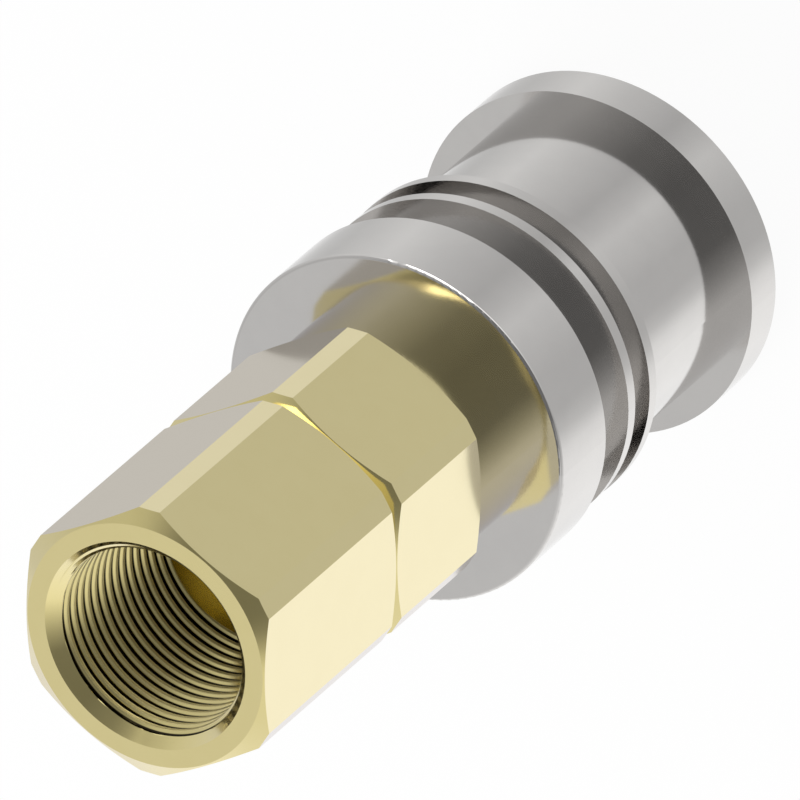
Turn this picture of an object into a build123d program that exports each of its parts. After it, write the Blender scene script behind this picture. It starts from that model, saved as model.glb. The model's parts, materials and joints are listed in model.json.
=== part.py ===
"""Hydraulic quick coupling, female half, standing on its mouth.

Lengths are millimetres. Z runs up the axis from the mouth that takes the plug
to the threaded port. A brass adapter screws into a brass body; the body carries
the socket, the locking balls and the shut-off valve, and a steel sleeve slides
and spins on its nose.
"""
import os
from math import cos, pi, radians, sin, sqrt, tan

from build123d import *

# Wrench hexagons, the same on the body and on the adapter
across_flats = 30.0
across_cut_corners = 33.16      # over the flats that take off the six corners
hex_face_diameter = 29.6        # circle where the end chamfers start
hex_chamfer_angle = 30.0
body_hex_length = 18.5
adapter_hex_length = 28.75

# Brass body
neck_gap = 7.15                 # bare neck between the sleeve and the body hexagon
nose_diameter = 28.0
nose_proud = 0.3                # the nose stands this far out of the sleeve
nose_edge = 0.4
shoulder_step = 0.8             # radial, from the nose up to the neck
shoulder_drop = 2.0             # the nose steps up to the neck this far below the sleeve's lip
socket_diameter = 20.6
socket_depth = 21.5
socket_mouth_chamfer = 1.2
valve_port_diameter = 14.4
valve_port_length = 3.5
chamber_diameter = 22.0
guide_seat_rise = 1.45          # above the body hexagon's lower end
pilot_bore_diameter = 24.0
pilot_bore_length = 9.4
joint_thread_diameter = 26.0
thread_entry_chamfer = 0.6
fit_gap = 0.05                  # radial, between turned pieces that slide or screw

# Outer sleeve, from the mouth upwards
sleeve_front_flange = 5.3
sleeve_barrel = 20.1
sleeve_land = 1.5
sleeve_front_groove = 3.2
sleeve_rib = 1.5
sleeve_rear_groove = 6.45
sleeve_ring = 9.65
spring_space = 1.9              # radial, from the nose to the sleeve's chamber
counterbore_step = 0.5
sleeve_wall = 1.93              # from the chamber to the barrel, as deep as the grooves
land_step = 2.47                # this and the next three stand over the barrel
rib_step = 2.47
ring_step = 3.27
flange_step = 3.17
ring_edge_radius = 0.4
sleeve_lip_length = 3.5
sleeve_lip_gap = 0.02           # radial, to the neck
sleeve_mouth_chamfer = 0.5

# Locking balls and the ring that holds them in
ball_count = 8
ball_reach = 1.06               # the locked balls stand this much more than the wall
ball_height = 9.4               # above the mouth
ball_seat_gap = 0.05
ball_ring_gap = 0.15
lock_ring_reach = 3.2           # below the balls' centres
lock_ring_length = 6.2
lock_ring_ramp = 0.9

# Retaining rings of round-edged strip
stop_ring_thickness = 1.2
stop_ring_groove_depth = 0.8
stop_ring_rise = 1.1            # the ring stands this far over the nose
stop_ring_opening = 34.0        # degrees
keeper_ring_thickness = 1.1
keeper_ring_groove_depth = 0.5
keeper_ring_reach = 0.9         # the ring stands this far into the counterbore
keeper_ring_opening = 40.0
ring_groove_play = 0.1
ring_stop_gap = 0.15            # left between the locking ring and its stop ring

# Sleeve spring and its two washers
washer_thickness = 1.0
washer_side_gap = 0.3           # to the sleeve's chamber wall
sleeve_spring_wire = 1.5
sleeve_spring_turns = 9.0
spring_seat_gap = 0.05
spring_runs_per_turn = 24
spring_wire_sides = 10

# Plug seal
plug_seal_rise = 5.2            # above the balls' centres
plug_seal_groove_width = 4.2
plug_seal_groove_depth = 1.8
plug_ring_section = 2.2
backup_thickness = 1.2
seal_gap = 0.03

# Valve
poppet_nose_reach = 1.2         # the nose stands this far into the socket
poppet_nose_gap = 0.3
poppet_cone_gap = 0.15          # square to the cone
poppet_head_diameter = 18.8
poppet_head_rise = 4.4          # from the seat's lower edge to the back of the head
poppet_pilot_diameter = 9.2
poppet_pilot_length = 3.6
stem_diameter = 6.0
stem_end_depth = 1.6            # below the top of the guide
poppet_ring_section = 1.6
poppet_ring_rise = 1.4          # above the seat's lower edge
poppet_ring_gap = 0.05          # to the valve seat
valve_spring_wire = 1.2
valve_spring_diameter = 11.2
valve_spring_turns = 8.0

# Guide that centres the valve stem
guide_rim_height = 3.0
guide_rim_wall = 2.1
guide_hub_diameter = 9.6
guide_hub_drop = 5.6            # below the rim's seat
guide_spring_flange = 13.2
guide_flange_thickness = 1.5
guide_leg_count = 3
guide_leg_width = 2.4

# Adapter
port_thread_diameter = 24.0     # fine pitch of 1.5
port_minor_diameter = 22.376
port_thread_depth = 23.5
port_depth = 27.0
port_countersink_diameter = 25.24
passage_diameter = 16.0
throat_diameter = 12.0          # where the passage opens into the port's floor
throat_length = 4.0
spigot_thread_relief = 2.0
spigot_relief_diameter = 24.2
adapter_seal_rise = 1.6         # above the spigot's tip
adapter_seal_groove_width = 3.6
adapter_ring_section = 1.78

# Diameters worked out from the nose outwards
neck_diameter = nose_diameter + 2 * shoulder_step
sleeve_chamber_diameter = nose_diameter + 2 * spring_space
sleeve_counterbore_diameter = sleeve_chamber_diameter + 2 * counterbore_step
barrel_diameter = sleeve_chamber_diameter + 2 * sleeve_wall
land_diameter = barrel_diameter + 2 * land_step
rib_diameter = barrel_diameter + 2 * rib_step
ring_diameter = barrel_diameter + 2 * ring_step
flange_diameter = barrel_diameter + 2 * flange_step
ball_diameter = (nose_diameter - socket_diameter) / 2 + ball_reach
stop_ring_groove_diameter = nose_diameter - 2 * stop_ring_groove_depth
stop_ring_outer_diameter = nose_diameter + 2 * stop_ring_rise
keeper_ring_groove_diameter = sleeve_counterbore_diameter + 2 * keeper_ring_groove_depth
keeper_ring_inner_diameter = sleeve_counterbore_diameter - 2 * keeper_ring_reach
plug_seal_groove_diameter = socket_diameter + 2 * plug_seal_groove_depth

# Heights worked out from the lengths above
sleeve_bottom = nose_proud
flange_top = sleeve_bottom + sleeve_front_flange
land_bottom = flange_top + sleeve_barrel
land_top = land_bottom + sleeve_land
rib_bottom = land_top + sleeve_front_groove
rib_top = rib_bottom + sleeve_rib
ring_bottom = rib_top + sleeve_rear_groove
sleeve_top = ring_bottom + sleeve_ring
lip_bottom = sleeve_top - sleeve_lip_length
body_hex_bottom = sleeve_top + neck_gap
joint_height = body_hex_bottom + body_hex_length
port_height = joint_height + adapter_hex_length
shoulder_height = lip_bottom - shoulder_drop
lock_ring_bottom = ball_height - lock_ring_reach
lock_ring_top = lock_ring_bottom + lock_ring_length
stop_ring_top = lock_ring_bottom - ring_stop_gap
plug_seal_height = ball_height + plug_seal_rise
valve_face_height = socket_depth - poppet_nose_reach
valve_seat_bottom = socket_depth + valve_port_length
valve_seat_rise = (chamber_diameter - valve_port_diameter) / 2
poppet_ring_height = valve_seat_bottom + poppet_ring_rise
poppet_head_back = valve_seat_bottom + poppet_head_rise
guide_seat_height = body_hex_bottom + guide_seat_rise
guide_hub_bottom = guide_seat_height - guide_hub_drop
pilot_bore_top = guide_seat_height + pilot_bore_length
spigot_tip = guide_seat_height + guide_rim_height
stem_top = spigot_tip - stem_end_depth
adapter_seal_height = spigot_tip + adapter_seal_rise


def turned(*outline):
    """Solid of revolution about the axis from (radius, height) points."""
    face = make_face(Polyline(*[(r, 0, z) for r, z in outline], close=True))
    return revolve(face, Axis.Z)


def tube(inner, outer, bottom, top):
    """Plain ring between two diameters and two heights."""
    return turned((inner / 2, bottom), (outer / 2, bottom), (outer / 2, top), (inner / 2, top))


def seal_ring(section, centre_radius, height):
    """Round-section elastomer ring."""
    return Pos(0, 0, height) * Torus(centre_radius, section / 2)


def hexagon_bar(bottom, top):
    """Hexagon with flattened corners and both ends chamfered."""
    length = top - bottom
    flats = RegularPolygon(across_flats / 2, 6, major_radius=False, rotation=30)
    corners = RegularPolygon(across_cut_corners / 2, 6, major_radius=False)
    bar = Pos(0, 0, bottom) * extrude(flats & corners, length)
    reach = across_cut_corners / 2 + 1
    face = hex_face_diameter / 2
    drop = (reach - face) * tan(radians(hex_chamfer_angle))
    envelope = turned((0, bottom), (face, bottom), (reach, bottom + drop),
                      (reach, top - drop), (face, top), (0, top))
    return bar & envelope


def open_ring(inner, outer, bottom, thickness, opening):
    """Retaining ring with a gap that lets it be sprung into its groove."""
    ring = tube(inner, outer, bottom, bottom + thickness)
    reach = outer
    half = radians(opening / 2)
    gap = Polyline((0, 0), (reach * cos(half), -reach * sin(half)),
                   (reach * cos(half), reach * sin(half)), close=True)
    return ring - Pos(0, 0, bottom - 1) * extrude(make_face(gap), thickness + 2)


def coil_spring(wire, mean_diameter, turns, bottom, top):
    """Compression spring with both ends ground flat, its wire in short straight runs."""
    ground = wire / 4
    start, height = bottom - ground, top - bottom + 2 * ground
    steps = round(turns * spring_runs_per_turn)
    angles = [2 * pi * step / spring_runs_per_turn for step in range(steps + 1)]
    path = Polyline(*[(mean_diameter / 2 * cos(angle), mean_diameter / 2 * sin(angle),
                       start + height * step / steps) for step, angle in enumerate(angles)])
    section = Plane(path @ 0, x_dir=(0, 0, 1), z_dir=path % 0) * RegularPolygon(
        wire / 2, spring_wire_sides)
    coil = sweep(section, path, transition=Transition.RIGHT)
    slab = tube(mean_diameter - 3 * wire, mean_diameter + 3 * wire, bottom, top)
    pieces = (coil & slab).solids()
    return max(pieces, key=lambda piece: piece.volume)


def make_body():
    """Brass body: wrench hexagon, neck, and the nose that holds the socket."""
    nose = nose_diameter / 2
    outside = turned((0, 0), (nose - nose_edge, 0), (nose, nose_edge), (nose, shoulder_height),
                     (neck_diameter / 2, shoulder_height), (neck_diameter / 2, body_hex_bottom),
                     (0, body_hex_bottom))
    outside += hexagon_bar(body_hex_bottom, joint_height)
    mouth = socket_diameter / 2 + socket_mouth_chamfer
    port = valve_port_diameter / 2
    chamber = chamber_diameter / 2
    pilot = pilot_bore_diameter / 2
    thread = joint_thread_diameter / 2 + fit_gap
    thread_start = pilot_bore_top + thread - pilot
    cavity = turned(
        (0, -1), (mouth, -1), (mouth, 0), (socket_diameter / 2, socket_mouth_chamfer * sqrt(3)),
        (socket_diameter / 2, socket_depth), (port, socket_depth), (port, valve_seat_bottom),
        (chamber, valve_seat_bottom + valve_seat_rise), (chamber, guide_seat_height),
        (pilot, guide_seat_height), (pilot, pilot_bore_top), (thread, thread_start),
        (thread, joint_height - thread_entry_chamfer),
        (thread + thread_entry_chamfer, joint_height), (thread + thread_entry_chamfer, joint_height + 1),
        (0, joint_height + 1))
    cavity += tube(socket_diameter - 1, plug_seal_groove_diameter, plug_seal_height,
                   plug_seal_height + plug_seal_groove_width)
    stop_groove = tube(stop_ring_groove_diameter, nose_diameter + 2,
                       stop_ring_top - stop_ring_thickness - ring_groove_play / 2,
                       stop_ring_top + ring_groove_play / 2)
    body = outside - cavity - stop_groove
    hole_radius = ball_diameter / 2 + ball_seat_gap
    drill = Sphere(hole_radius) + Cylinder(hole_radius, nose_diameter,
                                           align=(Align.CENTER, Align.CENTER, Align.MIN))
    drill = Pos(ball_centre_radius(), 0, ball_height) * Rot(0, 90, 0) * drill
    for turn in range(ball_count):
        body -= Rot(0, 0, turn * 360 / ball_count) * drill
    return body


def ball_centre_radius():
    """Distance of a locked ball's centre from the axis."""
    ring_bore = nose_diameter / 2 + fit_gap
    return ring_bore - ball_ring_gap - ball_diameter / 2


def make_ball(turn):
    """One locking ball in its hole."""
    at = Rot(0, 0, turn * 360 / ball_count) * Pos(ball_centre_radius(), 0, ball_height)
    return at * Sphere(ball_diameter / 2)


def make_sleeve():
    """Steel outer sleeve turned from one bar."""
    flange, barrel = flange_diameter / 2, barrel_diameter / 2
    ring = ring_diameter / 2
    land, rib = land_diameter / 2, rib_diameter / 2
    counterbore, chamber = sleeve_counterbore_diameter / 2, sleeve_chamber_diameter / 2
    lip = neck_diameter / 2 + sleeve_lip_gap
    sleeve = turned(
        (counterbore + sleeve_mouth_chamfer, sleeve_bottom), (flange, sleeve_bottom),
        (flange, flange_top), (barrel, flange_top), (barrel, land_bottom), (land, land_bottom),
        (land, land_top), (barrel, land_top), (barrel, rib_bottom), (rib, rib_bottom),
        (rib, rib_top), (barrel, rib_top), (barrel, ring_bottom), (ring, ring_bottom),
        (ring, sleeve_top), (lip, sleeve_top), (lip, lip_bottom), (chamber, lip_bottom),
        (chamber, lock_ring_top), (counterbore, lock_ring_top),
        (counterbore, sleeve_bottom + sleeve_mouth_chamfer))
    rim = sleeve.edges().filter_by(GeomType.CIRCLE).filter_by(
        lambda edge: abs(edge.radius - ring) < 1e-3).sort_by(Axis.Z)[-1]
    sleeve = fillet(rim, ring_edge_radius)
    keeper_top = lock_ring_bottom + ring_groove_play / 2
    return sleeve - tube(sleeve_counterbore_diameter - 1, keeper_ring_groove_diameter,
                         keeper_top - keeper_ring_thickness - ring_groove_play, keeper_top)


def make_locking_ring():
    """Hardened ring in the sleeve whose bore keeps the balls pushed in."""
    bore = nose_diameter / 2 + fit_gap
    outside = sleeve_counterbore_diameter / 2 - fit_gap
    return turned((bore + lock_ring_ramp, lock_ring_bottom), (outside, lock_ring_bottom),
                  (outside, lock_ring_top), (bore, lock_ring_top),
                  (bore, lock_ring_bottom + lock_ring_ramp * sqrt(3)))


def make_keeper_ring():
    """Ring that holds the locking ring in the sleeve."""
    return open_ring(keeper_ring_inner_diameter, keeper_ring_groove_diameter - ring_groove_play,
                     lock_ring_bottom - keeper_ring_thickness, keeper_ring_thickness,
                     keeper_ring_opening)


def make_stop_ring():
    """Ring on the nose that the locking ring rests against."""
    return open_ring(stop_ring_groove_diameter + ring_groove_play, stop_ring_outer_diameter,
                     stop_ring_top - stop_ring_thickness, stop_ring_thickness, stop_ring_opening)


def make_washer(bottom):
    """Flat washer round the nose, inside the sleeve's chamber."""
    return tube(nose_diameter + 2 * fit_gap, sleeve_chamber_diameter - 2 * washer_side_gap,
                bottom, bottom + washer_thickness)


def make_sleeve_spring():
    """Spring that pushes the sleeve towards the mouth."""
    mean = (nose_diameter + sleeve_chamber_diameter) / 2
    return coil_spring(sleeve_spring_wire, mean, sleeve_spring_turns,
                       lock_ring_top + washer_thickness + spring_seat_gap,
                       shoulder_height - washer_thickness - spring_seat_gap)


def make_plug_seal():
    """Ring seal and backup ring in the socket's groove."""
    groove = plug_seal_groove_diameter / 2
    bottom = plug_seal_height + seal_gap
    backup = tube(socket_diameter + 2 * fit_gap, plug_seal_groove_diameter - 2 * seal_gap,
                  bottom, bottom + backup_thickness)
    centre = bottom + backup_thickness + seal_gap + plug_ring_section / 2
    ring = seal_ring(plug_ring_section, groove - seal_gap - plug_ring_section / 2, centre)
    return ring, backup


def make_adapter_seal():
    """Ring seal and backup ring on the adapter's spigot."""
    pilot = pilot_bore_diameter / 2
    centre = adapter_seal_height + seal_gap + adapter_ring_section / 2
    ring = seal_ring(adapter_ring_section, pilot - seal_gap - adapter_ring_section / 2, centre)
    top = adapter_seal_height + adapter_seal_groove_width - seal_gap
    backup = tube(adapter_groove_diameter() + 2 * seal_gap, pilot_bore_diameter - 2 * fit_gap,
                  top - backup_thickness, top)
    return ring, backup


def adapter_groove_diameter():
    """Floor of the spigot's seal groove."""
    return pilot_bore_diameter - 2 * adapter_ring_section - 4 * seal_gap


def poppet_cone_radius(height):
    """Radius of the poppet's cone, a small gap inside the body's 45 degree seat."""
    return valve_port_diameter / 2 + height - valve_seat_bottom - poppet_cone_gap * sqrt(2)


def poppet_ring_radius():
    """Centre radius of the poppet's seal, just clear of the valve seat."""
    seat = valve_port_diameter / 2 + poppet_ring_height - valve_seat_bottom
    return seat - (poppet_ring_section / 2 + poppet_ring_gap) * sqrt(2)


def make_poppet():
    """Valve poppet: flat nose, seal groove, cone, spring pilot and stem."""
    nose = valve_port_diameter / 2 - poppet_nose_gap
    nose_top = valve_seat_bottom + nose - poppet_cone_radius(valve_seat_bottom)
    groove = poppet_ring_radius() - poppet_ring_section / 2 - seal_gap
    low = poppet_ring_height - poppet_ring_section / 2 - seal_gap
    high = poppet_ring_height + poppet_ring_section / 2 + seal_gap
    head = poppet_head_diameter / 2
    head_start = valve_seat_bottom + head - poppet_cone_radius(valve_seat_bottom)
    pilot_top = poppet_head_back + poppet_pilot_length
    stem = stem_diameter / 2
    return turned((0, valve_face_height), (nose - 0.5, valve_face_height),
                  (nose, valve_face_height + 0.5), (nose, nose_top),
                  (poppet_cone_radius(low), low), (groove, low), (groove, high),
                  (poppet_cone_radius(high), high), (head, head_start), (head, poppet_head_back),
                  (poppet_pilot_diameter / 2, poppet_head_back),
                  (poppet_pilot_diameter / 2, pilot_top), (stem, pilot_top),
                  (stem, stem_top - 0.5), (stem - 0.5, stem_top), (0, stem_top))


def make_poppet_seal():
    """Ring seal between the poppet's nose and its cone."""
    return seal_ring(poppet_ring_section, poppet_ring_radius(), poppet_ring_height)


def make_valve_spring():
    """Spring that shuts the valve."""
    return coil_spring(valve_spring_wire, valve_spring_diameter, valve_spring_turns,
                       poppet_head_back + spring_seat_gap, guide_hub_bottom - spring_seat_gap)


def make_guide():
    """Legged guide clamped between the body's seat and the adapter's spigot."""
    bore = stem_diameter + 2 * fit_gap
    rim_outside = pilot_bore_diameter - 2 * fit_gap
    rim = tube(rim_outside - 2 * guide_rim_wall, rim_outside, guide_seat_height, spigot_tip)
    hub = tube(bore, guide_hub_diameter, guide_hub_bottom, spigot_tip)
    hub += tube(bore, guide_spring_flange, guide_hub_bottom,
                guide_hub_bottom + guide_flange_thickness)
    inner, outer = guide_hub_diameter / 2 - 0.8, rim_outside / 2 - guide_rim_wall / 2
    leg = Pos((inner + outer) / 2, 0, guide_seat_height + guide_rim_height / 2) * Box(
        outer - inner, guide_leg_width, guide_rim_height)
    guide = rim + hub
    for turn in range(guide_leg_count):
        guide += Rot(0, 0, turn * 360 / guide_leg_count) * leg
    return guide


def make_adapter():
    """Brass adapter: wrench hexagon with the female port and a threaded spigot."""
    spigot = pilot_bore_diameter / 2 - fit_gap
    thread = joint_thread_diameter / 2
    relief_bottom = joint_height - spigot_thread_relief
    thread_bottom = pilot_bore_top + thread - spigot + 2 * fit_gap
    outside = hexagon_bar(joint_height, port_height)
    outside += turned((0, spigot_tip), (spigot - 0.4, spigot_tip), (spigot, spigot_tip + 0.4),
                      (spigot, pilot_bore_top), (thread, thread_bottom),
                      (thread, relief_bottom), (spigot_relief_diameter / 2, relief_bottom),
                      (spigot_relief_diameter / 2, joint_height + 1), (0, joint_height + 1))
    thread_end = port_height - port_thread_depth
    floor = port_height - port_depth
    sink = port_countersink_diameter / 2
    major, minor = port_thread_diameter / 2, port_minor_diameter / 2
    passage, throat = passage_diameter / 2, throat_diameter / 2
    throat_end = floor - throat_length
    cavity = turned((0, spigot_tip - 1), (passage, spigot_tip - 1),
                    (passage, throat_end - (passage - throat)), (throat, throat_end),
                    (throat, floor), (minor, floor), (minor, thread_end), (major, thread_end),
                    (major, port_height - (sink - major)), (sink, port_height),
                    (sink, port_height + 1), (0, port_height + 1))
    groove = tube(adapter_groove_diameter(), pilot_bore_diameter + 2, adapter_seal_height,
                  adapter_seal_height + adapter_seal_groove_width)
    return outside - cavity - groove


def make_parts():
    """Every piece by name."""
    plug_ring, plug_backup = make_plug_seal()
    adapter_ring, adapter_backup = make_adapter_seal()
    parts = {
        "rear_adapter": make_adapter(),
        "coupler_body": make_body(),
        "outer_sleeve": make_sleeve(),
        "locking_ring": make_locking_ring(),
        "sleeve_keeper_ring": make_keeper_ring(),
        "sleeve_stop_ring": make_stop_ring(),
        "thrust_washer": make_washer(lock_ring_top),
        "spring_seat_washer": make_washer(shoulder_height - washer_thickness),
        "sleeve_spring": make_sleeve_spring(),
        "valve_poppet": make_poppet(),
        "poppet_seal": make_poppet_seal(),
        "valve_spring": make_valve_spring(),
        "valve_guide": make_guide(),
        "adapter_seal": adapter_ring,
        "adapter_backup_ring": adapter_backup,
        "plug_seal": plug_ring,
        "plug_backup_ring": plug_backup,
    }
    for turn in range(ball_count):
        parts[f"locking_ball_{turn + 1}"] = make_ball(turn)
    return parts


os.makedirs("parts", exist_ok=True)
for name, solid in make_parts().items():
    export_step(solid, f"parts/{name}.step")
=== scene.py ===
"""Looks of a hydraulic quick coupling that stands on its mouth, its threaded port on top.

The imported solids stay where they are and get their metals, seals and machining marks here.
The port's thread, the rolled edge in the sleeve's lip and the two coil springs are meshes made
in this file. All sizes are in metres.
"""
import json
import logging
import math
from dataclasses import dataclass, field, replace
from enum import Enum
from typing import Any, Sequence

import bmesh
import bpy
import numpy as np
from mathutils import Matrix, Vector


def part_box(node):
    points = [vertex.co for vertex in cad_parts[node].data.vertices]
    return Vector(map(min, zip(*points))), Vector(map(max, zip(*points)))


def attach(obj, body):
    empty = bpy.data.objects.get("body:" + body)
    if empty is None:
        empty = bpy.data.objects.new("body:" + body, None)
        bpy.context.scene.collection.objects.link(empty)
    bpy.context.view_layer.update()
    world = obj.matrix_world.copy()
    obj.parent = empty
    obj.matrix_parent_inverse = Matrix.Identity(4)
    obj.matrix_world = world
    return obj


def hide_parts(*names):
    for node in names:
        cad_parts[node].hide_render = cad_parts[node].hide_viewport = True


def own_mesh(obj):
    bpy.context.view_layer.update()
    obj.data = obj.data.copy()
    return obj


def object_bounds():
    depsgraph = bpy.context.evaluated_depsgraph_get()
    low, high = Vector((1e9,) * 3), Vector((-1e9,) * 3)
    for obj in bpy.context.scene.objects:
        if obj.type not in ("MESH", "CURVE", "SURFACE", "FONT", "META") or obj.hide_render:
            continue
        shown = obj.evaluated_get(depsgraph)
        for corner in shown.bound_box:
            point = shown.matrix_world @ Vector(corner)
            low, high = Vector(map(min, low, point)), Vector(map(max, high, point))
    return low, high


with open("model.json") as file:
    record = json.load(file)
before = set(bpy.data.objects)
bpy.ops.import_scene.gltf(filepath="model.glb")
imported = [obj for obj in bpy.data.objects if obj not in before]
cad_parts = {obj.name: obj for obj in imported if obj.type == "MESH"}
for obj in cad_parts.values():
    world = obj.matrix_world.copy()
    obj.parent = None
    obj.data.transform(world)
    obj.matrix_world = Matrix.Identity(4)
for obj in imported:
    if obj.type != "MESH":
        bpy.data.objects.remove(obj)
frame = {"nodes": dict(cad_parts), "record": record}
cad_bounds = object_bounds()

log = logging.getLogger("coupling")

MM = 0.001
PICTURE_SIDE = 800.0            # pixels
WHITE = (1.0, 1.0, 1.0)

MOTTLE_SCALE = 260.0            # blotches of wear to the metre
MOTTLE_RANGE = (0.35, 0.7)      # noise where a blotch starts and where it is full
MOTTLE_SHARE = 0.6              # how much of the worn colour a full blotch shows
WIDE_SCALE = 90.0               # slow changes of roughness to the metre
LEVEL_FACE_TILT = 0.7           # a face whose normal rises more than this counts as level
CHAMFER_TILT = 0.2              # a wall whose normal rises less than this counts as upright
DRAWN_STRETCH = 0.02            # how much drawing stretched the grain along the bar
RING_SHARE = 0.6                # how much of a ground surface's relief is rings about the axis
PAINTED_SHADE_FADE = 0.1 * MM           # radial depth over which the painted shade in the thread's roots sets in
LACQUER_RANGE = (0.076, 0.816)  # facing value where the lacquer's gloss starts and is full
LACQUER_IOR = 4.0


class Term:
    """A shader socket that can stand in an arithmetic expression."""

    def __init__(self, graph: "Graph", socket: bpy.types.NodeSocket | None) -> None:
        """Wraps a socket.

        Args:
            graph: The node graph that the socket belongs to.
            socket: The output socket to read from, or None for a node that has no output.
        """
        self.graph = graph
        self.socket = socket

    def other(self, output: int | str) -> "Term":
        """Returns another output of the same node."""
        return Term(self.graph, self.socket.node.outputs[output])

    def _math(self, operation: str, *values: Any) -> "Term":
        """Adds one Math node and returns its result."""
        return self.graph.add("ShaderNodeMath", {"operation": operation},
                              dict(enumerate(values)))

    def __add__(self, other: Any) -> "Term":
        """Returns self + other."""
        return self._math("ADD", self, other)

    def __radd__(self, other: Any) -> "Term":
        """Returns other + self."""
        return self._math("ADD", other, self)

    def __sub__(self, other: Any) -> "Term":
        """Returns self - other."""
        return self._math("SUBTRACT", self, other)

    def __rsub__(self, other: Any) -> "Term":
        """Returns other - self."""
        return self._math("SUBTRACT", other, self)

    def __mul__(self, other: Any) -> "Term":
        """Returns self * other."""
        return self._math("MULTIPLY", self, other)

    def __rmul__(self, other: Any) -> "Term":
        """Returns other * self."""
        return self._math("MULTIPLY", other, self)

    def __truediv__(self, other: Any) -> "Term":
        """Returns self / other."""
        return self._math("DIVIDE", self, other)

    def __rtruediv__(self, other: Any) -> "Term":
        """Returns other / self."""
        return self._math("DIVIDE", other, self)

    def __abs__(self) -> "Term":
        """Returns the absolute value."""
        return self._math("ABSOLUTE", self)

    def root(self) -> "Term":
        """Returns the square root."""
        return self._math("SQRT", self)

    def direction(self, x: Any) -> "Term":
        """Returns the angle in radians of the point whose y is this value."""
        return self._math("ARCTAN2", self, x)

    def above(self, limit: Any) -> "Term":
        """Returns 1 where the value is over limit, and 0 elsewhere."""
        return self._math("GREATER_THAN", self, limit)

    def ramp(self, low: float, high: float) -> "Term":
        """Rises smoothly from 0 to 1.

        Args:
            low: Value that gives 0, as every smaller one does.
            high: Value that gives 1, as every greater one does.

        Returns:
            The mapped value.
        """
        return self.graph.add("ShaderNodeMapRange", {"interpolation_type": "SMOOTHSTEP"},
                              {"Value": self, "From Min": low, "From Max": high})


class Graph:
    """The node tree of one material or world."""

    def __init__(self, owner: bpy.types.ID) -> None:
        """Empties the owner's node tree and keeps it.

        Args:
            owner: The material or world to fill.
        """
        owner.use_nodes = True
        self.tree = owner.node_tree
        self.tree.nodes.clear()

    def add(self, kind: str, settings: dict[str, Any] | None = None,
            inputs: dict[int | str, Any] | None = None, output: int | str = 0) -> Term:
        """Adds a node, sets it up and links its inputs.

        Args:
            kind: The node's type name.
            settings: Properties to set first. A ColorRamp's stops go under "stops".
            inputs: Values or terms for the input sockets, by index or name.
            output: The output socket to return.

        Returns:
            The chosen output as a term.
        """
        node = self.tree.nodes.new(kind)
        for name, value in (settings or {}).items():
            if name == "stops":
                self._set_stops(node.color_ramp, value)
            else:
                setattr(node, name, value)
        for name, value in (inputs or {}).items():
            if isinstance(value, Term):
                self.tree.links.new(value.socket, node.inputs[name])
            else:
                node.inputs[name].default_value = value
        return Term(self, node.outputs[output] if len(node.outputs) else None)

    def split(self, vector: Term) -> tuple[Term, Term, Term]:
        """Returns the x, y and z of a vector."""
        x = self.add("ShaderNodeSeparateXYZ", inputs={0: vector})
        return x, x.other(1), x.other(2)

    @staticmethod
    def _set_stops(ramp: bpy.types.ColorRamp,
                   stops: Sequence[tuple[float, Sequence[float]]]) -> None:
        """Gives a colour ramp its stops.

        Args:
            ramp: The ramp to fill.
            stops: Pairs of a place from 0 to 1 and the colour there.
        """
        while len(ramp.elements) < len(stops):
            ramp.elements.new(1.0)
        for element, (place, colour) in zip(ramp.elements, stops):
            element.position = place
            element.color = colour

    def mix_colour(self, share: Any, first: Any, second: Any) -> Term:
        """Mixes two colours.

        Args:
            share: How much of the second colour shows.
            first: Colour at share 0.
            second: Colour at share 1.

        Returns:
            The mixed colour.
        """
        return self.add("ShaderNodeMix", {"data_type": "RGBA"},
                        {0: share, 6: first, 7: second}, output=2)


def rgba(colour: Sequence[float]) -> tuple[float, float, float, float]:
    """Adds an alpha of 1 to a linear colour."""
    return (colour[0], colour[1], colour[2], 1.0)


class Marks(Enum):
    """What a tool or a mould left on a surface."""

    TURNED = "rings about the axis"
    DRAWN_AND_TURNED = "drawn flats with turned ends"
    GROUND = "fine even grain"
    MOULDED = "soft matt skin"


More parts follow.
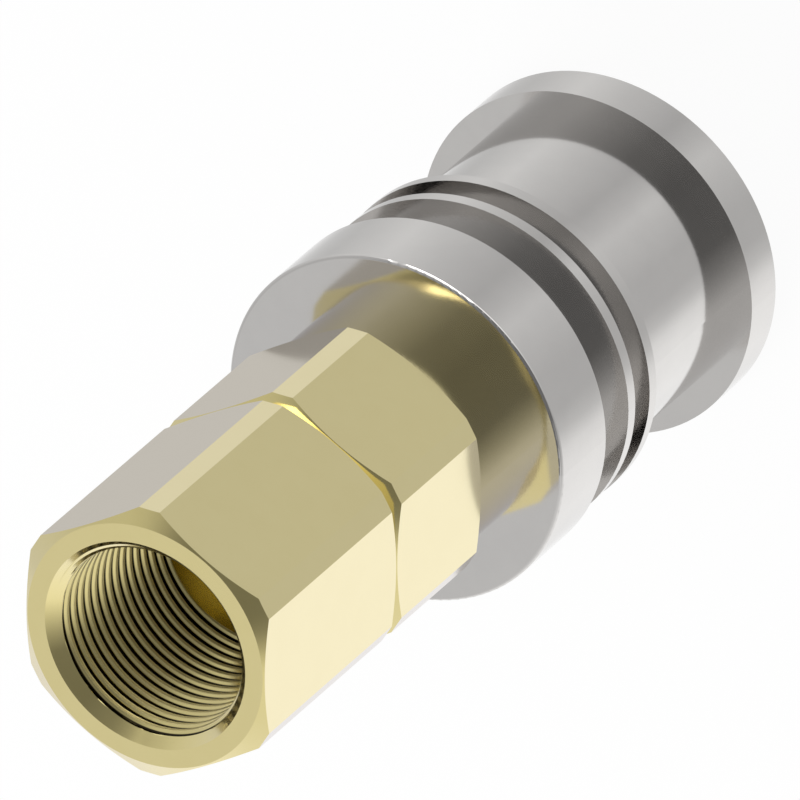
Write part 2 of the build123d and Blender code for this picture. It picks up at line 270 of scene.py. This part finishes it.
@dataclass(frozen=True)
class Finish:
    """One surface finish: its colour, how blurred its reflections are, and its tool marks.

    Attributes:
        name: Name of the material.
        slot: Material slot that wears it.
        colour: Linear colour where the surface is fresh.
        worn: Linear colour of its blotches.
        roughness: Mean roughness.
        roughness_spread: How far the roughness varies.
        metallic: 1 for a metal, 0 for rubber and plastic.
        marks: What made the surface.
        mark_pitch: Width of one tool mark.
        mark_depth: Depth of the marks.
        flat_radius: Drawn flats lie outside this radius, turned faces inside it.
        edge: Tint of the metal's reflections at a grazing angle.
        lacquer: Whether a clear coat adds gloss at a grazing angle.
        bored_radius: Bores lie inside this radius. 0 where the finish has none.
        bored_roughness: Roughness that a bore adds.
        bore_colour_and_painted_light: Linear colour of a bore. Where it is brighter than the
            finish's own colour, it is painted light inside the bore.
        bored_lacquer: How much of the lacquer reaches into a bore.
        painted_shade_radius: Upward faces of a bore get painted shade outside this radius, deep in
            the thread's roots. 0 for a finish without it.
        painted_shade_top: The painted shade stays below this height.
        painted_shade_colour: Linear colour of the painted shade.
    """

    name: str
    slot: str
    colour: tuple[float, float, float]
    worn: tuple[float, float, float]
    roughness: float
    roughness_spread: float
    metallic: float
    marks: Marks
    mark_pitch: float
    mark_depth: float
    flat_radius: float = 0.0
    edge: tuple[float, float, float] = (1.0, 1.0, 1.0)
    lacquer: bool = False
    bored_radius: float = 0.0
    bored_roughness: float = 0.0
    bore_colour_and_painted_light: tuple[float, float, float] = (0.0, 0.0, 0.0)
    bored_lacquer: float = 1.0
    painted_shade_radius: float = 0.0
    painted_shade_top: float = 0.0
    painted_shade_colour: tuple[float, float, float] = (0.03, 0.025, 0.015)

    def material(self) -> bpy.types.Material:
        """Builds the finish as a material.

        Returns:
            The material, ready to put on a piece.
        """
        made = bpy.data.materials.new(self.name)
        graph = Graph(made)
        place = graph.add("ShaderNodeTexCoord", output="Object")
        x, y, z = graph.split(place)
        radius = (x * x + y * y).root()
        rise = graph.split(graph.add("ShaderNodeNewGeometry", output="Normal"))[2]
        height, rough_share = self._surface(graph, place, radius, z, rise)
        mottle = graph.add("ShaderNodeTexNoise", inputs={"Vector": place, "Scale": MOTTLE_SCALE,
                                                         "Detail": 4.0, "Roughness": 0.6})
        colour = graph.mix_colour(mottle.ramp(*MOTTLE_RANGE) * MOTTLE_SHARE,
                                  rgba(self.colour), rgba(self.worn))
        rough = (rough_share - 0.5) * self.roughness_spread + self.roughness
        unshaded: Term | float = 1.0
        lacquered: Term | float = 1.0
        # A bore gets its own colour, roughness and lacquer; a bore colour brighter than the
        # finish's own paints light into the bore.
        if self.bored_radius:
            bored = 1 - radius.above(self.bored_radius)
            rough = rough + bored * self.bored_roughness
            colour = graph.mix_colour(bored, colour, rgba(self.bore_colour_and_painted_light))
            lacquered = 1 - bored * (1 - self.bored_lacquer)
        # Painted shade: upward faces deep in the thread's roots and below a height turn dark and
        # lose their lacquer.
        if self.painted_shade_radius:
            deep = radius.ramp(self.painted_shade_radius, self.painted_shade_radius + PAINTED_SHADE_FADE)
            unshaded = 1 - deep * rise.above(CHAMFER_TILT) * (1 - z.above(self.painted_shade_top))
            colour = graph.mix_colour(unshaded, rgba(self.painted_shade_colour), colour)
        bump = graph.add("ShaderNodeBump", inputs={"Strength": 1.0, "Distance": self.mark_depth,
                                                   "Height": height})
        sockets = {"Base Color": colour, "Metallic": self.metallic, "Roughness": rough,
                   "Normal": bump, "Specular Tint": rgba(self.edge)}
        if self.lacquer:
            facing = graph.add("ShaderNodeLayerWeight", inputs={"Blend": 0.5}, output="Facing")
            sockets |= {"Coat Weight": facing.ramp(*LACQUER_RANGE) * unshaded * lacquered,
                        "Coat IOR": LACQUER_IOR, "Coat Roughness": self.roughness}
        shader = graph.add("ShaderNodeBsdfPrincipled", inputs=sockets)
        graph.add("ShaderNodeOutputMaterial", inputs={0: shader})
        return made

    def _surface(self, graph: Graph, place: Term, radius: Term, z: Term,
                 rise: Term) -> tuple[Term, Term]:
        """Works out the relief of the tool marks.

        Args:
            graph: The material's graph.
            place: Position on the part.
            radius: Distance from the axis.
            z: Height on the part.
            rise: How far the surface's normal points up, from -1 to 1.

        Returns:
            The relief from 0 to 1, and a value from 0 to 1 that varies the roughness.
        """
        if self.marks is Marks.MOULDED:
            grain = graph.add("ShaderNodeTexNoise", inputs={"Vector": place, "Detail": 5.0,
                                                            "Scale": 1 / self.mark_pitch})
            return grain, grain
        tilt = abs(rise)
        level = tilt.above(LEVEL_FACE_TILT)
        travel = radius * level + z * (1 - level)
        rings = graph.add("ShaderNodeTexNoise", {"noise_dimensions": "1D"},
                          {"W": travel / self.mark_pitch, "Scale": 1.0, "Detail": 3.0})
        if self.marks is Marks.DRAWN_AND_TURNED:
            squeeze = graph.add("ShaderNodeMapping", inputs={
                "Vector": place, "Scale": (1 / self.mark_pitch, 1 / self.mark_pitch,
                                           DRAWN_STRETCH / self.mark_pitch)})
            drawn = graph.add("ShaderNodeTexNoise", inputs={"Vector": squeeze, "Scale": 1.0,
                                                            "Detail": 3.0})
            on_flat = radius.above(self.flat_radius) * (1 - tilt.above(CHAMFER_TILT))
            rings = rings * (1 - on_flat) + drawn * on_flat
        if self.marks is Marks.GROUND:
            grain = graph.add("ShaderNodeTexNoise", inputs={"Vector": place, "Detail": 2.0,
                                                            "Scale": 1 / self.mark_pitch})
            rings = rings * RING_SHARE + grain * (1 - RING_SHARE)
        wide = graph.add("ShaderNodeTexNoise", inputs={"Vector": place, "Scale": WIDE_SCALE,
                                                       "Detail": 3.0})
        return rings, rings * 0.5 + wide * 0.5


BRASS = Finish(
    name="bright_brass", slot="brass", colour=(0.803, 0.697, 0.321), worn=(0.787, 0.679, 0.305),
    roughness=0.12, roughness_spread=0.04, metallic=1.0, marks=Marks.DRAWN_AND_TURNED,
    mark_pitch=0.22 * MM, mark_depth=0.0006 * MM, flat_radius=14.9 * MM,
    edge=(0.566, 0.542, 0.647), lacquer=True, bored_radius=11.25 * MM,
    # the bore's brass is brighter than the rest: painted light inside the deep bore
    bore_colour_and_painted_light=(0.98, 0.86, 0.36), bored_lacquer=0.0)
TAPPED_BRASS = replace(
    BRASS, name="tapped_brass", slot="tapped_brass", marks=Marks.TURNED,
    bored_radius=11.3 * MM, bored_roughness=0.25, bore_colour_and_painted_light=(0.80, 0.69, 0.315),
    # painted shade: upward faces deep in the thread's roots turn dark, up to the top of the thread
    bored_lacquer=1.0, painted_shade_radius=11.52 * MM, painted_shade_top=100.9 * MM)
SLEEVE_STEEL = Finish(
    name="plated_sleeve", slot="plated_steel", colour=(0.623, 0.609, 0.594),
    worn=(0.60, 0.587, 0.574), roughness=0.11, roughness_spread=0.05, metallic=1.0,
    marks=Marks.TURNED, mark_pitch=0.2 * MM, mark_depth=0.0006 * MM, edge=(0.92, 0.92, 0.92))
HARD_STEEL = Finish(
    name="ground_steel", slot="hardened_steel", colour=(0.50, 0.50, 0.50),
    worn=(0.42, 0.42, 0.43), roughness=0.24, roughness_spread=0.1, metallic=1.0,
    marks=Marks.GROUND, mark_pitch=0.12 * MM, mark_depth=0.001 * MM)
SPRING_STEEL = Finish(
    name="spring_wire", slot="spring_steel", colour=(0.33, 0.33, 0.34),
    worn=(0.24, 0.24, 0.25), roughness=0.34, roughness_spread=0.12, metallic=1.0,
    marks=Marks.GROUND, mark_pitch=0.1 * MM, mark_depth=0.001 * MM)
BALL_STEEL = Finish(
    name="ball_steel", slot="ball_steel", colour=(0.74, 0.74, 0.75), worn=(0.70, 0.70, 0.71),
    roughness=0.08, roughness_spread=0.03, metallic=1.0, marks=Marks.GROUND,
    mark_pitch=0.1 * MM, mark_depth=0.0002 * MM)
SEAL_RUBBER = Finish(
    name="black_rubber", slot="seal_rubber", colour=(0.018, 0.018, 0.018),
    worn=(0.03, 0.03, 0.03), roughness=0.55, roughness_spread=0.12, metallic=0.0,
    marks=Marks.MOULDED, mark_pitch=0.25 * MM, mark_depth=0.004 * MM)
BACKUP_PLASTIC = Finish(
    name="white_backup", slot="backup_plastic", colour=(0.76, 0.75, 0.70),
    worn=(0.70, 0.69, 0.63), roughness=0.42, roughness_spread=0.1, metallic=0.0,
    marks=Marks.MOULDED, mark_pitch=0.4 * MM, mark_depth=0.003 * MM)
FINISHES = (BRASS, TAPPED_BRASS, SLEEVE_STEEL, HARD_STEEL, SPRING_STEEL, BALL_STEEL, SEAL_RUBBER,
            BACKUP_PLASTIC)


class Wardrobe:
    """The finishes by material slot, each made once."""

    def __init__(self) -> None:
        """Builds every finish."""
        self.by_slot = {finish.slot: finish.material() for finish in FINISHES}

    def dress(self, piece: bpy.types.Object, slot: str) -> None:
        """Puts a slot's finish on every material slot of a piece.

        Args:
            piece: The object to dress.
            slot: The record's material slot.
        """
        material = self.by_slot[slot]
        if not piece.material_slots:
            piece.data.materials.append(material)
        for place in piece.material_slots:
            place.material = material


def mesh_object(name: str, points: np.ndarray, faces: Sequence[Sequence[int]]) -> bpy.types.Object:
    """Makes a mesh object whose place is in its mesh.

    Args:
        name: The piece's name.
        points: One row of x, y, z for each vertex.
        faces: Vertex numbers of each face.

    Returns:
        The new object, linked to the scene.
    """
    mesh = bpy.data.meshes.new(name)
    mesh.from_pydata([tuple(map(float, point)) for point in points], [], faces)
    mesh.validate()
    mesh.update()
    piece = bpy.data.objects.new(name, mesh)
    bpy.context.scene.collection.objects.link(piece)
    return piece


def smooth_by_angle(piece: bpy.types.Object, degrees: float) -> None:
    """Shades a piece smooth, with sharp edges where faces turn by more than an angle.

    Args:
        piece: The mesh object.
        degrees: The sharpest turn that is still shaded smooth.
    """
    bpy.context.view_layer.objects.active = piece
    piece.select_set(True)
    bpy.ops.object.shade_smooth_by_angle(angle=math.radians(degrees))
    piece.select_set(False)


@dataclass
class PortThread:
    """The fine internal thread that lines the port's bore.

    Attributes:
        pitch: Rise of one turn.
        major_radius: Radius of the roots.
        minor_radius: Radius of the crests.
        countersink_radius: Radius of the countersink in the adapter's end face.
        length: Depth of the last turn below the end face.
        seat: How far the outer wall reaches into the adapter.
        start_turn: Where round the axis the thread starts, in turns.
        root_half: Half the width of the flat root, in pitches.
        crest_half: Half the width of the flat crest, in pitches.
        rounding: Share of the flank's height over which the crest is rounded.
        steps_per_turn: Mesh steps round the axis.
        rows_per_pitch: Mesh rows along one pitch.
        spare_turns: Turns wound past each end, which are then cut off.
        sharp_turn: Edges sharper than this many degrees stay sharp.
    """

    pitch: float = 1.5 * MM
    major_radius: float = 12.0 * MM
    minor_radius: float = 11.188 * MM
    countersink_radius: float = 12.62 * MM
    length: float = 23.5 * MM
    seat: float = 0.05 * MM
    start_turn: float = -0.13
    root_half: float = 1 / 16
    crest_half: float = 1 / 8
    rounding: float = 0.12
    steps_per_turn: int = 144
    rows_per_pitch: int = 24
    spare_turns: int = 3
    sharp_turn: float = 25.0

    @property
    def flank(self) -> float:
        """Width of one flank, in pitches."""
        return 0.5 - self.crest_half - self.root_half

    def profile(self, phase: np.ndarray) -> np.ndarray:
        """Radius of the thread at a place along one pitch.

        Args:
            phase: Place along the pitch, from 0 to 1. The root is at 0.

        Returns:
            The radius at each phase. The crest is rounded.
        """
        away = np.abs((phase + 0.5) % 1.0 - 0.5)
        rise = np.maximum((away - self.root_half) / self.flank, 0.0)
        rounded = 1 - (1 + self.rounding - rise) ** 2 / (4 * self.rounding)
        rise = np.where(rise > 1 - self.rounding, rounded, rise)
        return self.major_radius - rise * (self.major_radius - self.minor_radius)

    def build(self, wardrobe: Wardrobe) -> bpy.types.Object:
        """Builds and dresses the thread.

        Args:
            wardrobe: Where its finish comes from.

        Returns:
            The thread, riding on the body.
        """
        top_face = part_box("rear_adapter")[1].z
        top = top_face - (self.countersink_radius - self.major_radius)
        bottom = top_face - self.length
        piece = mesh_object("port_thread", *self._helix(top_face, top, bottom))
        self._trim(piece.data, top, bottom)
        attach(piece, "coupler_body")
        wardrobe.dress(piece, "tapped_brass")
        smooth_by_angle(piece, self.sharp_turn)
        return piece

    def _row_places(self) -> list[float]:
        """Places along one pitch where the mesh has a row, corners of the profile among them."""
        round_start, round_end = (self.root_half + height * self.flank
                                  for height in (1 - self.rounding, 1 + self.rounding))
        half = [0.0, self.root_half, round_start, round_end]
        corners = half + [1 - place for place in reversed(half)]
        places: list[float] = []
        for low, high in zip(corners, corners[1:]):
            count = max(1, round((high - low) * self.rows_per_pitch))
            places += [low + (high - low) * step / count for step in range(count)]
        return places

    def _helix(self, top_face: float, top: float,
               bottom: float) -> tuple[np.ndarray, list[tuple[int, int, int, int]]]:
        """Winds the profile into an open helix that is longer than the thread at both ends.

        Args:
            top_face: The adapter's end face.
            top: Where the countersink meets the thread's root.
            bottom: The thread's inner end.

        Returns:
            The points and the faces.
        """
        places = self._row_places()
        turns = np.arange(self.steps_per_turn) / self.steps_per_turn
        first = -self.spare_turns
        last = math.ceil((top - bottom) / self.pitch) + self.spare_turns
        phase = np.array([row + place for row in range(first, last) for place in places])[:, None]
        z = bottom + (phase + turns[None, :] + self.start_turn) * self.pitch
        radii = np.maximum(np.broadcast_to(self.profile(phase % 1.0), z.shape),
                           self.countersink_radius - (top_face - z))
        angle = 2 * math.pi * turns[None, :]
        points = np.stack([radii * np.cos(angle), radii * np.sin(angle), z], -1).reshape(-1, 3)
        rows, steps = z.shape
        faces = []
        for step in range(steps):
            after, lift = (step + 1, 0) if step + 1 < steps else (0, len(places))
            for row in range(rows - 1 - lift):
                faces.append((row * steps + step, (row + 1) * steps + step,
                              (row + 1 + lift) * steps + after, (row + lift) * steps + after))
        return points, faces

    def _trim(self, mesh: bpy.types.Mesh, top: float, bottom: float) -> None:
        """Cuts the helix level at both ends and closes it with a wall seated in the adapter.

        Args:
            mesh: The helix, changed in place.
            top: Height of the upper cut.
            bottom: Height of the lower cut.
        """
        outer = self.major_radius + self.seat
        work = bmesh.new()
        work.from_mesh(mesh)
        rims = []
        for height, way in ((bottom, -1), (top, 1)):
            cut = bmesh.ops.bisect_plane(work, geom=work.verts[:] + work.edges[:] + work.faces[:],
                                         plane_co=(0, 0, height), plane_no=(0, 0, way),
                                         clear_outer=True)
            edges = [item for item in cut["geom_cut"] if isinstance(item, bmesh.types.BMEdge)]
            grown = bmesh.ops.extrude_edge_only(work, edges=edges)["geom"]
            for vertex in (item for item in grown if isinstance(item, bmesh.types.BMVert)):
                stretch = outer / math.hypot(vertex.co.x, vertex.co.y)
                vertex.co.x, vertex.co.y = vertex.co.x * stretch, vertex.co.y * stretch
            rims += [item for item in grown if isinstance(item, bmesh.types.BMEdge)
                     and item.is_boundary]
        bmesh.ops.bridge_loops(work, edges=rims)
        bmesh.ops.recalc_face_normals(work, faces=work.faces)
        work.to_mesh(mesh)
        work.free()
        mesh.update()


@dataclass
class LipCollar:
    """The rolled edge inside the sleeve's lip that closes the running gap round the neck.

    Attributes:
        neck_radius: Radius of the body's neck.
        lip_radius: Radius of the sleeve's lip.
        overlap: How far the edge reaches past the gap on both sides.
        proud: How far it stands above the sleeve.
        height: How deep it reaches into the gap.
        steps: Mesh steps round the axis.
        sharp_turn: Edges sharper than this many degrees stay sharp.
    """

    neck_radius: float = 14.8 * MM
    lip_radius: float = 14.82 * MM
    overlap: float = 0.012 * MM
    proud: float = 0.002 * MM
    height: float = 0.4 * MM
    steps: int = 180
    sharp_turn: float = 40.0

    def build(self, wardrobe: Wardrobe) -> bpy.types.Object:
        """Builds and dresses the collar.

        Args:
            wardrobe: Where its finish comes from.

        Returns:
            The collar, riding on the sleeve.
        """
        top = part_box("outer_sleeve")[1].z + self.proud
        inner, outer = self.neck_radius - self.overlap, self.lip_radius + self.overlap
        bottom = top - self.height
        section = ((inner, bottom), (outer, bottom), (outer, top), (inner, top))
        sides = len(section)
        points, faces = [], []
        for step in range(self.steps):
            angle = 2 * math.pi * step / self.steps
            points += [(reach * math.cos(angle), reach * math.sin(angle), z)
                       for reach, z in section]
            here, there = sides * step, sides * ((step + 1) % self.steps)
            faces += [(here + at, there + at, there + (at + 1) % sides, here + (at + 1) % sides)
                      for at in range(sides)]
        piece = mesh_object("lip_collar", np.array(points), faces)
        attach(piece, "sleeve")
        wardrobe.dress(piece, "plated_steel")
        smooth_by_angle(piece, self.sharp_turn)
        return piece


@dataclass
class CoilSpring:
    """A compression spring of round wire with ground ends.

    Attributes:
        node: The CAD node that it stands in for.
        joint: The joint that would shorten it; not used.
        body: The body that it rides on.
        wire: Diameter of the wire.
        turns: Number of turns.
        travel: How much shorter it gets over the joint's travel; not used.
        steps_per_turn: Mesh steps along one turn of the wire.
        wire_sides: Mesh steps round the wire.
        sharp_turn: Edges sharper than this many degrees stay sharp.
    """

    node: str
    joint: str
    body: str
    wire: float
    turns: float
    travel: float
    steps_per_turn: int = 60
    wire_sides: int = 20
    sharp_turn: float = 40.0

    def build(self, wardrobe: Wardrobe) -> bpy.types.Object:
        """Builds the spring in the place of its CAD node.

        Args:
            wardrobe: Where its finish comes from.

        Returns:
            The spring.
        """
        low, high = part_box(self.node)
        radius = self.wire / 2
        mean = (high.x - low.x) / 2 - radius
        ground = self.wire / 4
        count = int(self.turns * self.steps_per_turn) + 1
        share = np.linspace(0, 1, count)[:, None]
        angle = 2 * math.pi * self.turns * share
        rise = (high.z - low.z + 2 * ground) * share + low.z - ground
        side = 2 * math.pi * np.arange(self.wire_sides)[None, :] / self.wire_sides
        reach = mean + radius * np.cos(side)
        z = np.clip(rise + radius * np.sin(side), low.z, high.z)
        points = np.stack(np.broadcast_arrays(reach * np.cos(angle), reach * np.sin(angle), z), -1)
        piece = mesh_object(self.node + "_wire", points.reshape(-1, 3), self._faces(count))
        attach(piece, self.body)
        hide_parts(self.node)
        wardrobe.dress(piece, "spring_steel")
        smooth_by_angle(piece, self.sharp_turn)
        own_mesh(piece)
        return piece

    def _faces(self, rings: int) -> list[tuple[int, ...]]:
        """Joins the rings of points along the wire and closes its two ends.

        Args:
            rings: Number of rings of points.

        Returns:
            The faces, as vertex numbers.
        """
        sides = self.wire_sides
        faces: list[tuple[int, ...]] = []
        for step in range(rings - 1):
            here, there = step * sides, (step + 1) * sides
            for at in range(sides):
                after = (at + 1) % sides
                faces.append((here + at, here + after, there + after, there + at))
        faces.append(tuple(reversed(range(sides))))
        faces.append(tuple((rings - 1) * sides + at for at in range(sides)))
        return faces


@dataclass
class Studio:
    """White surroundings, soft light and the camera.

    Attributes:
        camera_right: Direction in the scene that points right in the picture.
        camera_up: Direction in the scene that points up in the picture.
        camera_back: Direction from the object to the camera.
        lens: Focal length in millimetres.
        sensor: Width of the sensor in millimetres.
        pixels_per_mm: Scale of the picture at the object.
        mouth_x: Column of the picture where the centre of the mouth end lies.
        mouth_y: Row of the picture where the centre of the mouth end lies.
        clip_share: Nearest and furthest view, as shares of the camera's distance.
        low_ring: Brightness by direction in degrees, below the horizon.
        middle_ring: The same at the horizon.
        high_ring: The same above it.
        ring_full: The brightest level that a ring can hold.
        middle_zone: Heights of a direction from where the middle ring sets in to where it is full.
        high_zone: The same for the high ring.
        zenith_zone: The same for the zenith.
        zenith: Brightness overhead.
        panel_gain: What all the reflected surroundings are multiplied by.
        matt_level: Brightness of the surroundings for matt surfaces.
        lamp_place: Place of the lamp.
        lamp_size: Diameter of the lamp.
        lamp_power: Power of the lamp in watts.
        floor_size: Side of the floor.
        floor_colour: Linear colour of the floor.
        floor_white: Share of plain white in the floor as the camera sees it.
    """

    camera_right: tuple[float, float, float] = (0.8660, 0.0, -0.5)
    camera_up: tuple[float, float, float] = (-0.25, 0.8660, -0.4330)
    camera_back: tuple[float, float, float] = (0.4330, 0.5, 0.75)
    lens: float = 1600.0
    sensor: float = 36.0
    pixels_per_mm: float = 9.113
    mouth_x: float = 613.6
    mouth_y: float = 239.4
    clip_share: tuple[float, float] = (0.25, 4.0)
    low_ring: tuple[tuple[float, float], ...] = (
        (-180, 0.63), (-165, 0.66), (-150, 0.76), (-129, 0.91), (-105, 0.97), (-81, 1.09),
        (-57, 1.07), (-45, 1.03), (-33, 0.92), (-21, 0.66), (-9, 0.55), (15, 0.55), (36, 0.63),
        (51, 0.70), (63, 0.60), (78, 0.51), (111, 0.65), (141, 0.80), (180, 0.63))
    middle_ring: tuple[tuple[float, float], ...] = (
        (-180, 0.64), (-163, 0.62), (-140, 0.92), (-116, 0.96), (-71, 0.92), (-47, 0.96),
        (-21, 0.60), (0, 0.45), (35, 0.8), (55, 1.4), (84, 1.9), (92, 4.0), (110, 4.0), (118, 1.1),
        (132, 0.72), (150, 0.68), (180, 0.64))
    high_ring: tuple[tuple[float, float], ...] = (
        (-180, 0.55), (-150, 0.58), (-131, 0.66), (-93, 0.75), (-66, 0.76), (-47, 0.76),
        (-31, 0.50), (-19, 0.33), (-4, 0.18), (51, 0.165), (87, 0.22), (123, 0.42), (147, 0.55),
        (180, 0.55))
    ring_full: float = 5.0
    middle_zone: tuple[float, float] = (-0.34, -0.02)
    high_zone: tuple[float, float] = (0.12, 0.6)
    zenith_zone: tuple[float, float] = (0.8, 0.96)
    zenith: float = 0.18
    panel_gain: float = 1.15
    matt_level: float = 0.75
    lamp_place: tuple[float, float, float] = (-0.35, -0.45, 0.9)
    lamp_size: float = 0.5
    lamp_power: float = 4.0
    floor_size: float = 3.0
    floor_colour: tuple[float, float, float] = (0.9, 0.9, 0.9)
    floor_white: float = 0.93

    def build(self) -> None:
        """Makes the camera, the surroundings, the lamp and the floor."""
        self.camera()
        self.surroundings()
        self.lamp()
        self.floor()
        bpy.context.scene.view_settings.view_transform = "Standard"
        log.info("set up the camera, the surroundings, the lamp and the floor")

    def camera(self) -> bpy.types.Object:
        """Places a long lens so that the picture is nearly without perspective.

        Returns:
            The scene's camera.
        """
        right, up, back = (Vector(axis).normalized() for axis in
                           (self.camera_right, self.camera_up, self.camera_back))
        middle = Vector((0, 0, cad_bounds[1].z / 2))
        scale = self.pixels_per_mm / MM
        middle_x = self.mouth_x + self.camera_right[2] * middle.z * scale
        middle_y = self.mouth_y - self.camera_up[2] * middle.z * scale
        aim = (middle + right * ((PICTURE_SIDE / 2 - middle_x) / scale)
               - up * ((PICTURE_SIDE / 2 - middle_y) / scale))
        distance = PICTURE_SIDE * self.lens / self.sensor / scale
        data = bpy.data.cameras.new("camera")
        data.lens, data.sensor_width = self.lens, self.sensor
        data.clip_start, data.clip_end = (distance * share for share in self.clip_share)
        camera = bpy.data.objects.new("camera", data)
        turn = Matrix((right, up, back)).transposed().to_4x4()
        camera.matrix_world = Matrix.Translation(aim + back * distance) @ turn
        bpy.context.scene.collection.objects.link(camera)
        bpy.context.scene.camera = camera
        return camera

    def _ring(self, graph: Graph, share: Term, levels: Sequence[tuple[float, float]]) -> Term:
        """Brightness round one ring of the surroundings.

        Args:
            graph: The world's graph.
            share: Direction round the axis, from 0 to 1 for -180 to 180 degrees.
            levels: Pairs of direction in degrees and brightness.

        Returns:
            The brightness there.
        """
        stops = [((angle + 180) / 360, rgba((level / self.ring_full,) * 3))
                 for angle, level in levels]
        return graph.add("ShaderNodeValToRGB", {"stops": stops}, {0: share}) * self.ring_full

    def surroundings(self) -> None:
        """Makes the world: white to the camera, soft panels to the metal, even light elsewhere."""
        world = bpy.data.worlds.new("studio")
        bpy.context.scene.world = world
        graph = Graph(world)
        x, y, z = graph.split(graph.add("ShaderNodeTexCoord", output="Generated"))
        share = y.direction(x) / (2 * math.pi) + 0.5
        low, middle, high = (self._ring(graph, share, levels) for levels in
                             (self.low_ring, self.middle_ring, self.high_ring))
        lift, rise, cap = (z.ramp(*zone) for zone in
                           (self.middle_zone, self.high_zone, self.zenith_zone))
        sides = low * (1 - lift) + middle * lift * (1 - rise) + high * rise
        level = sides * (1 - cap) + cap * self.zenith
        seen = graph.add("ShaderNodeLightPath", output="Is Camera Ray")
        gloss = seen.other("Is Glossy Ray")
        unseen = gloss * level * self.panel_gain + (1 - gloss) * self.matt_level
        brightness = seen + (1 - seen) * unseen
        back = graph.add("ShaderNodeBackground", inputs={0: rgba(WHITE), 1: brightness})
        graph.add("ShaderNodeOutputWorld", inputs={0: back})

    def lamp(self) -> bpy.types.Object:
        """Adds one large soft lamp that gives the floor its shadow.

        Returns:
            The lamp.
        """
        data = bpy.data.lights.new("soft_lamp", "AREA")
        data.shape, data.size, data.energy = "DISK", self.lamp_size, self.lamp_power
        lamp = bpy.data.objects.new("soft_lamp", data)
        place = Vector(self.lamp_place)
        lamp.matrix_world = (Matrix.Translation(place)
                             @ (-place).to_track_quat("-Z", "Y").to_matrix().to_4x4())
        lamp.visible_glossy = False
        bpy.context.scene.collection.objects.link(lamp)
        return lamp

    def floor(self) -> bpy.types.Object:
        """Makes the pale floor, white to the camera apart from a faint shadow, clear from below.

        Returns:
            The floor.
        """
        half = self.floor_size / 2
        corners = np.array([(-half, -half, 0), (half, -half, 0), (half, half, 0), (-half, half, 0)])
        floor = mesh_object("floor", corners, [(0, 1, 2, 3)])
        material = bpy.data.materials.new("pale_floor")
        graph = Graph(material)
        seen = graph.add("ShaderNodeLightPath", output="Is Camera Ray")
        matt = graph.add("ShaderNodeBsdfDiffuse", inputs={0: rgba(self.floor_colour)})
        white = graph.add("ShaderNodeEmission", inputs={0: rgba(WHITE), 1: 1.0})
        above = graph.add("ShaderNodeMixShader",
                          inputs={0: seen * self.floor_white, 1: matt, 2: white})
        under = graph.add("ShaderNodeNewGeometry", output="Backfacing")
        clear = graph.add("ShaderNodeBsdfTransparent")
        mix = graph.add("ShaderNodeMixShader", inputs={0: under, 1: above, 2: clear})
        graph.add("ShaderNodeOutputMaterial", inputs={0: mix})
        floor.data.materials.append(material)
        floor.visible_glossy = False
        return floor


@dataclass
class Coupling:
    """The whole coupling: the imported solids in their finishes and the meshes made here.

    Attributes:
        wardrobe: The finishes by slot.
        thread: The port's thread.
        collar: The rolled edge in the sleeve's lip.
        sleeve_spring: The spring that returns the sleeve.
        valve_spring: The spring that shuts the valve.
    """

    wardrobe: Wardrobe
    thread: PortThread = field(default_factory=PortThread)
    collar: LipCollar = field(default_factory=LipCollar)
    sleeve_spring: CoilSpring = field(default_factory=lambda: CoilSpring(
        "sleeve_spring", "sleeve_slide", "coupler_body", wire=1.5 * MM, turns=9.0,
        travel=5.8 * MM))
    valve_spring: CoilSpring = field(default_factory=lambda: CoilSpring(
        "valve_spring", "valve_slide", "coupler_body", wire=1.2 * MM, turns=8.0,
        travel=5.0 * MM))

    def dress_solids(self) -> None:
        """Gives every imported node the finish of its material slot."""
        for part in frame["record"]["subparts"]:
            self.wardrobe.dress(frame["nodes"][part["node"]], part["material_slot"])
            log.info("dressed %s in %s", part["node"], part["material_slot"])

    def build(self) -> None:
        """Dresses the solids, then builds the thread, the collar and the springs."""
        self.dress_solids()
        for assembly in (self.thread, self.collar, self.sleeve_spring, self.valve_spring):
            piece = assembly.build(self.wardrobe)
            log.info("built %s: %d faces", piece.name, len(piece.data.polygons))


def main() -> None:
    """Builds the studio and the coupling."""
    logging.basicConfig(level=logging.INFO, format="%(name)s: %(message)s")
    Studio().build()
    Coupling(Wardrobe()).build()


if __name__ == "__main__":
    main()
